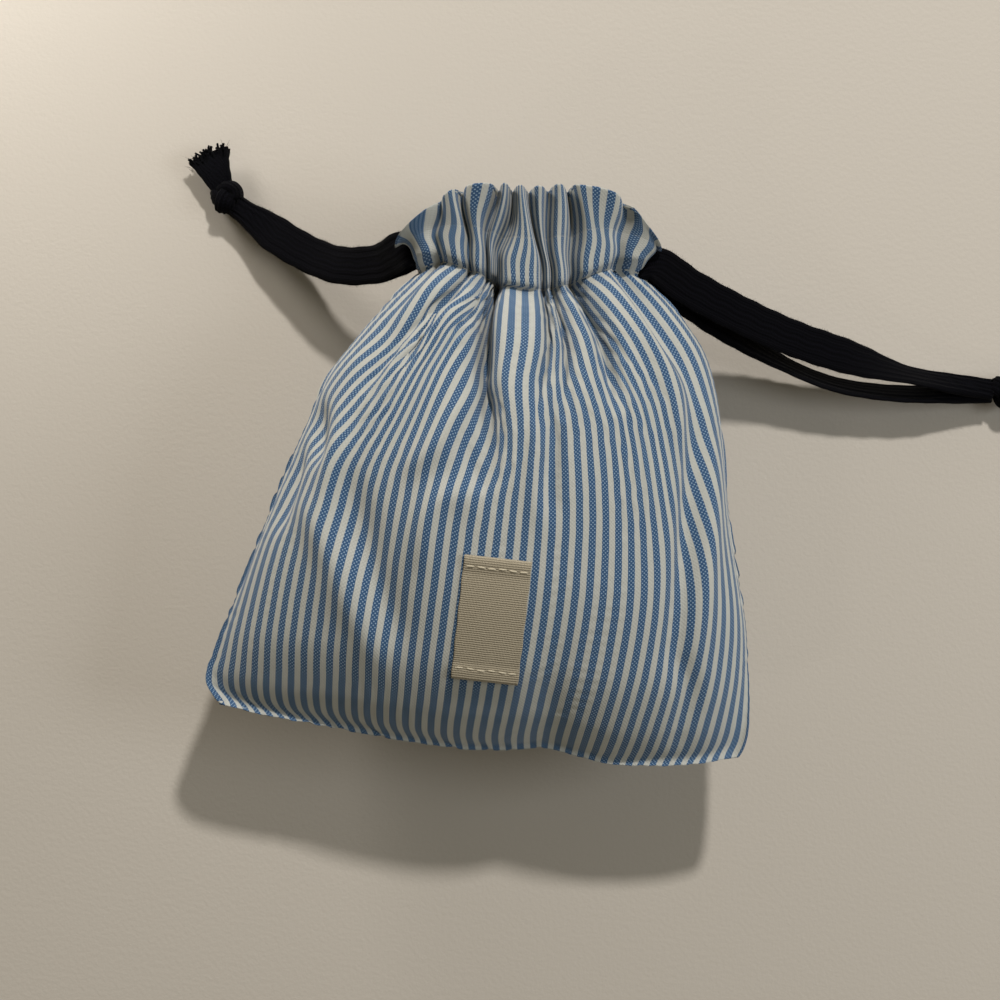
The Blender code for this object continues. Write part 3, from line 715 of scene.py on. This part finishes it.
def stripedCotton():
    made, tree, shader = newMaterial("striped_cotton", {
        "Roughness": 0.88, "Sheen Weight": 0.25, "Sheen Roughness": 0.5, "Specular IOR Level": 0.25})
    uv, across, up = clothPlaces(tree)
    wander = (noise(tree, uv, 260.0, 2.0) - 0.5) * stripes["wander"]
    inRepeat = ((across + wander) / stripes["repeat"]).math("FRACT")
    half = stripes["blueShare"] / 2
    blue = 1 - smoothStep((inRepeat - 0.5).math("ABSOLUTE"), half - stripes["edge"], half + stripes["edge"])
    # a basket weave: warp and weft floats alternate like a chessboard
    turn = 2 * math.pi / stripes["thread"]
    check = (across * turn).math("SINE") * (up * turn).math("SINE")
    weftOnTop = smoothStep(check, 0.25, 0.60)
    yarn = noise(tree, uv, 1500.0, 3.0)
    tone = mixColour(tree, yarn, (0.93, 0.93, 0.93), (1.07, 1.07, 1.07))
    dyed = mixColour(tree, weftOnTop, stripes["blue"], stripes["weftWhite"])
    plain = mixColour(tree, weftOnTop * 0.5, stripes["white"], tinted(stripes["white"], 1.06))
    colour = mixColour(tree, 1.0, mixColour(tree, blue, plain, dyed), tone, "MULTIPLY")
    # the rows of machine stitches below and above the casing, the upper one faint
    lower = (up - bag["bodyLength"] / mm).math("ABSOLUTE")
    upper = (up - (bag["bodyLength"] + bag["casing"]) / mm).math("ABSOLUTE")
    row = lower.math("MINIMUM", upper)
    dash = ((across / stripes["stitch"]).math("FRACT") - 0.5).math("ABSOLUTE")
    thread = (1 - smoothStep(row, 0.12, 0.22)) * (1 - smoothStep(dash, 0.34, 0.42))
    thread = thread * (1 - smoothStep(upper, 1.0, 0.5) * stripes["faint"])
    colour = mixColour(tree, thread, colour, stripes["white"])
    # every stitch stands in a shallow groove
    groove = 1 - smoothStep(row, 0.1, 0.5)
    warp = (across * (2 * turn)).math("COSINE")
    height = thread * 1.5 - groove + check * 0.5 + warp * 0.12 + yarn * 0.5
    dress(tree, shader, colour, height, stripes["bump"], 0.8)
    return made


# Tapes, knots and tails

tape = {
    "width": 0.0092,
    "thickness": 0.0015,
    "bunch": 0.0076,       # width where it leaves the casing
    "necked": 0.0058,      # and where it enters the knot
    "ribs": 5,
    "ribDepth": 0.16,
    "step": 0.6,           # mm from one ring of its mesh to the next
    "start": 0.0263,       # from the middle of the neck to where a free tape leaves its casing
    "lane": 0.00245,
    "layer": 0.0039,
    "fuzzPerMm": 26,
    "colour": (0.0014, 0.0014, 0.0024),
    "wale": 0.62,          # mm between the knitted ribs, and between the rows of stitches
    "course": 0.46,
}
knot = {
    "reach": 0.0046,       # from its middle to where tape and tail meet it
    "steps": 96,
    "wind": 0.00102,       # size of the path that the tape winds along
    "flatten": 1.15,
    "tip": (38, -24),      # degrees
    "width": 0.0050,
    "thickness": 0.0031,
    "heart": 0.0028,
    "onward": 0.0009,      # how far it sits towards the tail
}
tail = {
    "length": 0.0100,
    "core": 0.93,          # share of the length before the threads come loose
    "spread": 0.011328,
    "thickness": 0.0030,
    "steps": 22,
    "threads": 54,
    "strays": 110,
}
headFrame = Matrix.Translation((0.0026, 0.0516, 0.029)) @ Matrix.Rotation(math.radians(6.0), 4, "Z")
leftRoute = (
    (-0.0345, 0.0478, 0.0245), (-0.0438, 0.0476, 0.0180), (-0.0521, 0.0502, 0.0128),
    (-0.0604, 0.0543, 0.0092), (-0.0672, 0.0585, 0.0066),
)
leftBackRoute = tuple((x, y, max(z - 0.0022, 0.003)) for x, y, z in leftRoute)
rightFrontRoute = (
    (0.0421, 0.0487, 0.0277), (0.0554, 0.0440, 0.0228), (0.0700, 0.0401, 0.0172),
    (0.0848, 0.0374, 0.0128), (0.0983, 0.0352, 0.0098), (0.1110, 0.0340, 0.0078),
)
rightBackRoute = (
    (0.0415, 0.0472, 0.0235), (0.0540, 0.0412, 0.0170), (0.0671, 0.0352, 0.0110),
    (0.0809, 0.0312, 0.0078), (0.0941, 0.0302, 0.0062), (0.1080, 0.0310, 0.0054),
)
# The middle of each knot and the way its tail points
leftEnd = (Vector((-0.0759, 0.0636, 0.0047)), Vector((-0.48, 0.87, 0.0)).normalized())
rightEnd = (Vector((0.1257, 0.0335, 0.0047)), Vector((0.99, 0.12, 0.0)).normalized())
# How far each tape leans over its share of the way, in degrees
leftLean = ((0, 0), (0.25, -6), (0.6, 4), (1, 0))
rightFrontLean = ((0, 0), (0.55, -5), (0.80, -55), (1, -20))
rightBackLean = ((0, 0), (0.20, -8), (0.50, -60), (0.85, -55), (1, -20))


def smoothRoute(points, step):
    # A smooth curve through the points, read at even steps.
    known = np.array([tuple(p) for p in points], float)
    known = np.vstack([2 * known[0] - known[1], known, 2 * known[-1] - known[-2]])
    dense = []
    for a, b, c, d in zip(known[:-3], known[1:-2], known[2:-1], known[3:]):
        for t in np.linspace(0, 1, 24, endpoint=False):
            dense.append(0.5 * (2 * b + (c - a) * t + (2 * a - 5 * b + 4 * c - d) * t**2
                                + (3 * b - a - 3 * c + d) * t**3))
    dense = np.array([*dense, known[-2]])
    along = lengthAlong(dense)
    at = np.linspace(0, along[-1], max(3, round(along[-1] / step)) + 1)
    return np.stack([np.interp(at, along, dense[:, k]) for k in range(3)], axis=1)


def sweep(shape, path, across, widths, thicks, around=48, ribs=0, ribDepth=0.0):
    # A flat cord with rounded edges along a path, with soft ribs along it.
    path, across = np.array(path), np.array(across)
    count = len(path) - 1
    ahead = np.gradient(path, axis=0)
    upward = np.cross(ahead, across)
    upward /= np.maximum(np.linalg.norm(upward, axis=1, keepdims=True), 1e-12)
    along = lengthAlong(path)
    made = bmesh.ops.create_grid(shape, x_segments=around, y_segments=count, size=1.0)["verts"]
    uvLayer = shape.loops.layers.uv.verify()
    spots, ends = {}, ([], [])
    for v in made:
        i, j = round((v.co.x + 1) / 2 * around), round((v.co.y + 1) / 2 * count)
        angle = 2 * math.pi * i / around
        u = math.copysign(abs(math.cos(angle)) ** 0.8, math.cos(angle))
        w = math.copysign(abs(math.sin(angle)) ** 0.6, math.sin(angle))
        if ribs:
            w *= 1 + ribDepth * (math.cos(ribs * math.pi * u) - 1)
        spots[v] = (i, j)
        v.co = Vector(path[j] + across[j] * u * widths[j] / 2 + upward[j] * w * thicks[j] / 2)
    for f in {f for v in made for f in v.link_faces}:
        for loop in f.loops:
            i, j = spots[loop.vert]
            loop[uvLayer].uv = (i / around * 2.2 * float(widths[j]), along[j])
    rims = {spot: v for v, spot in spots.items()}
    bmesh.ops.weld_verts(shape, targetmap={rims[around, j]: rims[0, j] for j in range(count + 1)})
    for j in (0, count):
        bmesh.ops.contextual_create(shape, geom=[rims[i, j] for i in range(around)])


def finishSweep(shape, name, material):
    bmesh.ops.recalc_face_normals(shape, faces=shape.faces)
    made = toObject(shape, name)
    made.data.uv_layers[0].name = "cloth"
    made.data.materials.append(material)
    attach(made, "root")
    return made


def leanAcross(path, leans):
    share = np.linspace(0, 1, len(path))
    ahead = np.gradient(np.array(path), axis=0)
    flat = np.stack([-ahead[:, 1], ahead[:, 0], np.zeros(len(path))], axis=1)
    flat /= np.linalg.norm(flat, axis=1, keepdims=True)
    lean = np.radians(curveThrough(leans, share))[:, None]
    return flat * np.cos(lean) + np.array([0, 0, 1.0]) * np.sin(lean)


def makeTape(name, side, layer, lane, route, middle, leans, material):
    begin = Vector((side * tape["start"], lane * tape["lane"], layer * tape["layer"]))
    away = begin + Vector((side * 0.0046, -0.0007 if side < 0 else 0, 0))
    end = middle + (Vector(route[-1]) - middle).normalized() * (knot["reach"] * 0.62)
    end.z = middle.z + layer * 0.0008
    path = smoothRoute([headFrame @ begin, headFrame @ away, *route, end], tape["step"] * mm)
    share = np.linspace(0, 1, len(path))
    grow = ramp(share, 0.0, 0.09)
    narrow = ramp(share, 0.78, 0.99)
    full = tape["width"]
    widths = tape["bunch"] + (full - tape["bunch"]) * grow - (full - tape["necked"]) * narrow
    widths *= 1 + 0.018 * np.sin(share * len(path) * tape["step"] * 0.9 + layer * 2 + side)
    thicks = tape["thickness"] * (1 + 0.5 * (1 - grow) + 1.1 * narrow)
    across = leanAcross(path, leans)
    shape = bmesh.new()
    sweep(shape, path, across, widths, thicks, 64, tape["ribs"], tape["ribDepth"])
    made = finishSweep(shape, name + "_knitted", material)
    fuzz = makeFuzz(name + "_fuzz", path, across, widths)
    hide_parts(name)
    return made, fuzz, path


def fibres(name, strands, material, sides=1):
    # Many thin fibres as one curve with a round bevel, made into a mesh. A strand is a list of
    # points with its radius at each.
    data = bpy.data.curves.new(name, "CURVE")
    data.dimensions = "3D"
    data.bevel_depth = 1.0
    data.bevel_resolution = sides
    data.use_fill_caps = True
    for points, radii in strands:
        spline = data.splines.new("POLY")
        spline.points.add(len(points) - 1)
        flatPoints = np.column_stack([points, np.ones(len(points))]).ravel()
        spline.points.foreach_set("co", flatPoints)
        spline.points.foreach_set("radius", list(radii))
    curve = bpy.data.objects.new(name + "_curve", data)
    bpy.context.scene.collection.objects.link(curve)
    mesh = bpy.data.meshes.new_from_object(curve.evaluated_get(bpy.context.evaluated_depsgraph_get()))
    bpy.data.objects.remove(curve)
    bpy.data.curves.remove(data)
    mesh.name = name
    mesh.shade_smooth()
    mesh.materials.clear()
    mesh.materials.append(material)
    made = bpy.data.objects.new(name, mesh)
    bpy.context.scene.collection.objects.link(made)
    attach(made, "root")
    return made


def strayFibre(root, aim, length, bend, thick):
    fibre = np.array([root, root + aim * length * 0.5, root + aim * length + bend])
    fibre[:, 2] = np.maximum(fibre[:, 2], onTable)
    return fibre, (thick, thick, thick * 0.5)


def anyWay(spread):
    return np.array([random.gauss(0, spread) for _ in range(3)])


def makeFuzz(name, path, across, widths):
    # Stray cotton fibres along both edges of a tape.
    strands = []
    for _ in range(int(len(path) * tape["step"] * tape["fuzzPerMm"])):
        k = random.randint(2, len(path) - 3)
        edge = random.choice((-1, 1))
        over = random.uniform(0.90, 0.99)
        base = path[k] + across[k] * edge * over * widths[k] / 2
        aim = across[k] * edge + anyWay(0.7)
        aim /= np.linalg.norm(aim)
        length = random.uniform(0.15, 0.75) * mm
        bend = anyWay(0.22) * length
        strands.append(strayFibre(base, aim, length, bend, random.uniform(0.010, 0.018) * mm))
    made = fibres(name, strands, bpy.data.materials["navy_fibre"], 0)
    return made


def makeKnot(name, middle, ahead, material):
    # An overhand knot: the bunched tapes wound round themselves.
    beside = Vector((-ahead.y, ahead.x, 0))
    frame = Matrix((ahead, beside, (0, 0, 1))).transposed()
    tipY, tipX = map(math.radians, knot["tip"])
    turn = frame @ Matrix.Rotation(tipY, 3, "Y") @ Matrix.Rotation(tipX, 3, "X")
    steps = knot["steps"]
    spots = []
    for k in range(steps + 1):
        t = 2 * math.pi * k / steps
        spot = Vector((math.sin(t) + 2 * math.sin(2 * t), math.cos(t) - 2 * math.cos(2 * t),
                       -math.sin(3 * t) * knot["flatten"]))
        spots.append(tuple(turn @ spot * knot["wind"]))
    spots = np.array(spots)
    outward = spots / np.linalg.norm(spots, axis=1, keepdims=True)
    across = np.cross(np.gradient(spots, axis=0), outward)
    across /= np.linalg.norm(across, axis=1, keepdims=True)
    shape = bmesh.new()
    widths, thicks = ([knot[key]] * (steps + 1) for key in ("width", "thickness"))
    sweep(shape, spots, across, widths, thicks, 40, 4, 0.10)
    bmesh.ops.create_uvsphere(shape, u_segments=20, v_segments=14, radius=knot["heart"])
    lowest = min(v.co.z for v in shape.verts)
    spot = middle + ahead * knot["onward"]
    shape.transform(Matrix.Translation((spot.x, spot.y, 0.0002 - lowest)))
    made = finishSweep(shape, name + "_overhand", material)
    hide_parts(name)
    return made


def makeTail(name, middle, ahead, material):
    # The ends past the knot, fanned out and frayed to a ragged edge.
    ahead = np.array(ahead)
    beside = np.array((-ahead[1], ahead[0], 0.0))
    upward = np.array((0, 0, 1.0))
    shape = bmesh.new()
    start = np.array(middle) + ahead * knot["reach"] * 0.45
    steps = tail["steps"]
    full = tail["length"] + knot["reach"] * 0.35
    core, widths, thicks = [], [], []
    for k in range(steps + 1):
        s = k / steps
        lift = 0.0008 * math.sin(s * 3) - 0.0006 * s
        core.append(start + ahead * full * tail["core"] * s + upward * lift)
        fanned = (tail["spread"] - tape["necked"]) * s**1.25
        widths.append(tape["necked"] * (0.94 + 0.02 * math.sin(k)) + fanned)
        thicks.append(tail["thickness"] * (1.05 - 0.30 * s))
    sweep(shape, core, [beside] * (steps + 1), widths, thicks, 56, 7, tape["ribDepth"])
    core = finishSweep(shape, name + "_core", material)
    strands = []
    along = np.linspace(0, 1, 9)[:, None]
    for n in range(tail["threads"]):
        place = (n + random.uniform(0.1, 0.9)) / tail["threads"] * 2 - 1
        level = random.uniform(-0.42, 0.42) * tail["thickness"] * 0.75
        fan = ahead + beside * place * random.uniform(0.38, 0.62)
        fan /= np.linalg.norm(fan)
        root = start + ahead * full * random.uniform(0.70, 0.82) + beside * place * widths[-5] * 0.46
        root = root + upward * level
        reach = full * random.uniform(0.16, 0.30) * (1.12 - 0.25 * abs(place) + 0.12 * math.sin(place * 9))
        curl = beside * random.gauss(0, 0.0004) + upward * random.gauss(0.0001, 0.0003)
        thread = root + fan * reach * along + curl * along**2 * 1.6
        thread += beside * 0.00008 * np.sin(along * 19 + n)
        thread[:, 2] = np.maximum(thread[:, 2], onTable + 0.0001)
        thick = random.uniform(0.24, 0.38) * mm
        strands.append((thread, [thick * (1 + 0.16 * math.sin(k * 2.4 + n)) for k in range(9)]))
    for _ in range(tail["strays"]):
        place = random.uniform(-1, 1)
        root = start + ahead * full * random.uniform(0.72, 1.0) + beside * place * widths[-1] * 0.5
        root[2] = max(root[2] + random.gauss(0, 0.0006), 0.0005)
        aim = ahead * random.uniform(0.4, 1.2) + beside * (place * 0.8 + random.gauss(0, 0.35))
        aim = aim + upward * random.gauss(0, 0.2)
        length = random.uniform(0.5, 1.6) * mm
        bend = anyWay(0.3) * length
        strands.append(strayFibre(root, aim, length, bend, random.uniform(0.02, 0.04) * mm))
    threads = fibres(name + "_threads", strands, bpy.data.materials["navy_fibre"], 1)
    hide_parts(name)
    return [core, threads]


def tapeCotton():
    made, tree, shader = newMaterial("navy_tape", {
        "Roughness": 0.92, "Sheen Weight": 0.02, "Sheen Roughness": 0.4, "Specular IOR Level": 0.06})
    uv, across, up = clothPlaces(tree)
    # knitted ribs, their stitches like chevrons along the tape
    wale = (across * (2 * math.pi / tape["wale"])).math("COSINE")
    course = ((up + wale * 0.14) * (2 * math.pi / tape["course"])).math("SINE")
    stitch = wale * 0.5 + course * 0.5
    yarn = noise(tree, uv, 1800.0, 3.0)
    lit = smoothStep(stitch + yarn * 0.6, -0.6, 1.2)
    colour = mixColour(tree, lit, tinted(tape["colour"], 0.5), tinted(tape["colour"], 1.9))
    dress(tree, shader, colour, stitch * 0.6 + yarn * 0.5, 0.00012, 0.9)
    return made


def makeTapes():
    navy = tapeCotton()
    newMaterial("navy_fibre", {"Roughness": 0.95, "Base Color": tape["colour"], "Specular IOR Level": 0.1})
    for side, (middle, ahead) in (("left", leftEnd), ("right", rightEnd)):
        makeKnot(side + "_knot", middle, ahead, navy)
        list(makeTail(side + "_frayed_tail", middle, ahead, navy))
        side + "_front_tape"
    plans = (
        ("left_front_tape", -1, 1, 1, leftRoute, leftEnd[0], leftLean),
        ("left_back_tape", -1, -1, 1, leftBackRoute, leftEnd[0], leftLean),
        ("right_front_tape", 1, 1, -1, rightFrontRoute, rightEnd[0], rightFrontLean),
        ("right_back_tape", 1, -1, -1, rightBackRoute, rightEnd[0], rightBackLean),
    )
    for name, *plan in plans:
        made, fuzz, path = makeTape(name, *plan, navy)
    for name in ("left_drawstring_in_casing", "right_drawstring_in_casing"):
        for slot in bpy.data.objects[name].material_slots:
            slot.material = navy
    report("tapes made")


# The woven label

label = {
    "width": 0.0155,
    "length": 0.0285,
    "fold": 0.0032,
    "thickness": 0.00042,
    "place": (0.0019, -0.0365),
    "turn": -1.0,          # degrees
    "columns": 36,
    "rows": 88,
    "calming": 10,         # how often the cloth under it is smoothed
    "lift": 0.00028,
    "raise": 0.00062,      # how much higher it lies where its end is folded under
    "seamFromEnd": 0.0026,
    "seamDepth": 0.00022,
    "stitches": 6,
    "stitchPitch": 0.00245,
    "stitchLength": 0.00185,
    "stitchWidth": 0.00034,
    "threadColour": (0.56, 0.50, 0.38),
    "ribPitch": 0.50,      # mm
    "endPitch": 0.34,
    "colour": (0.385, 0.335, 0.247),
}


def labelPlace(u, v):
    x, y = label["place"]
    turn = math.radians(label["turn"])
    return x + u * math.cos(turn) - v * math.sin(turn), y + u * math.sin(turn) + v * math.cos(turn)


def heightOver(ground, u, v, missing):
    # The height of a surface at a place of the label.
    hit = ground.ray_cast(Vector((*labelPlace(u, v), 0.2)), Vector((0, 0, -1)))[0]
    return hit.z if hit else missing


def labelWeave():
    made, tree, shader = newMaterial("label_weave", {
        "Roughness": 0.80, "Sheen Weight": 0.2, "Specular IOR Level": 0.25})
    uv, across, up = clothPlaces(tree)
    wobble = noise(tree, uv, 420.0, 2.0)
    ribs = ((up + (wobble - 0.5) * 0.18) * (2 * math.pi / label["ribPitch"])).math("SINE")
    ends = (across * (2 * math.pi / label["endPitch"]) + ribs * 0.6).math("SINE")
    yarn = noise(tree, uv, 2600.0, 3.0)
    weave = smoothStep(ribs * 0.7 + ends * 0.35 + yarn * 0.5, -0.7, 1.3)
    colour = mixColour(tree, weave, tinted(label["colour"], 0.66), tinted(label["colour"], 1.16))
    dress(tree, shader, colour, ribs * 0.6 + ends * 0.25 + yarn * 0.4, 0.00009, 0.9)
    return made


def makeLabel(cloth):
    ground = BVHTree.FromObject(cloth, bpy.context.evaluated_depsgraph_get())
    columns, rows = label["columns"], label["rows"]
    fold, half = label["fold"], label["length"] / 2
    total = label["length"] + 2 * fold
    # the height under the label, smoothed as a stiff label bridges small dents
    us = np.linspace(-label["width"] / 2, label["width"] / 2, columns + 1)
    vs = np.linspace(-half, half, 61)
    under = np.array([[heightOver(ground, u, v, 0.05) for u in us] for v in vs])
    calm = under.copy()
    for _ in range(label["calming"]):
        edged = np.pad(calm, 1, mode="edge")
        calm = (edged[:-2, 1:-1] + edged[2:, 1:-1] + edged[1:-1, :-2] + edged[1:-1, 2:]) / 4
    calm += max(0.0, float((under - calm).max()) * 0.8)
    shape = bmesh.new()
    made = bmesh.ops.create_grid(shape, x_segments=columns, y_segments=rows, size=1.0)["verts"]
    uvLayer = shape.loops.layers.uv.new("cloth")
    marks = {}
    for v in made:
        i, j = round((v.co.x + 1) / 2 * columns), round((v.co.y + 1) / 2 * rows)
        s = total * j / rows - fold
        # s runs along the tape; the ends past 0 and the label's length turn back underneath
        if s < 0:
            along, level = -half - s, 0.0
        elif s > label["length"]:
            along, level = half - (s - label["length"]), 0.0
        else:
            along = s - half
            onFold = 1 - float(ramp(min(s, label["length"] - s), fold * 0.75, fold * 1.25))
            level = label["raise"] * onFold + 0.00006
        near = min(abs(s), abs(s - label["length"]))
        if near < 0.0007:
            level = 0.00034 if near < 0.0002 else level * 0.8 + 0.00006
        atEdge = abs(us[i]) > label["width"] * 0.45
        u = us[i] * (1 + 0.010 * math.sin(along * 900) * atEdge)
        seam = abs(abs(along) - (half - label["seamFromEnd"]))
        level -= label["seamDepth"] * math.exp(-((seam / 0.0005) ** 2)) * (level > 0.0003)
        z = float(np.interp(along, vs, calm[:, i])) + label["lift"] + level
        v.co = Vector((*labelPlace(u, along), z))
        marks[v] = (us[i], s)
    for f in shape.faces:
        for loop in f.loops:
            loop[uvLayer].uv = marks[loop.vert]
    bmesh.ops.recalc_face_normals(shape, faces=shape.faces)
    piece = toObject(shape, "label_tape")
    wall = piece.modifiers.new("wall", "SOLIDIFY")
    wall.thickness = label["thickness"]
    wall.offset = 0.0
    fine = piece.modifiers.new("fine", "SUBSURF")
    fine.levels = fine.render_levels = 1
    applyModifiers(piece)
    piece.data.shade_smooth()
    piece.data.materials.append(labelWeave())
    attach(piece, "root")
    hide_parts("woven_label")
    stitches = makeStitches(piece, ground)
    report("label made")


def makeStitches(piece, ground):
    # Two rows of running stitches that hold the label's ends.
    top = BVHTree.FromObject(piece, bpy.context.evaluated_depsgraph_get())
    shape = bmesh.new()
    share = [n / 8 for n in range(9)]
    wide = label["stitchWidth"]
    widths = [wide * (0.7 + 0.4 * math.sin(math.pi * s)) for s in share]
    for end in (-1, 1):
        for k in range(label["stitches"]):
            first = -label["width"] / 2 + 0.0007 + k * label["stitchPitch"] + random.gauss(0, 0.00008)
            spots = []
            for s in share:
                u = first + label["stitchLength"] * s
                v = end * (label["length"] / 2 - label["seamFromEnd"]) + random.gauss(0, 0.00002)
                v += 0.00010 * math.sin(k * 2.3 + s)
                z = heightOver(top, u, v, heightOver(ground, u, v, 0.05))
                z += 0.00020 * math.sin(math.pi * s) ** 0.5 - 0.00012
                spots.append(np.array((*labelPlace(u, v), z)))
            sweep(shape, spots, [np.array((0, 1.0, 0))] * 9, widths, [wide * 0.8] * 9, 10)
    bmesh.ops.recalc_face_normals(shape, faces=shape.faces)
    made = toObject(shape, "label_stitches")
    thread = newMaterial("cream_thread", {"Roughness": 0.7, "Base Color": label["threadColour"]})[0]
    made.data.materials.append(thread)
    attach(made, "root")
    return made


makeCamera()
makeLight()
makeTable()
makeTapes()
cotton = stripedCotton()
cloth, placed, flat, rowOf = makeCloth()
report(f"cloth made, {len(placed)} points")
settleCloth(cloth, placed, flat, rowOf)
finishCloth(cloth)
cloth.data.materials.clear()
cloth.data.materials.append(cotton)
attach(cloth, "root")
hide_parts("cloth_bag")
makeLabel(cloth)

bpy.context.scene.view_settings.view_transform = "Standard"
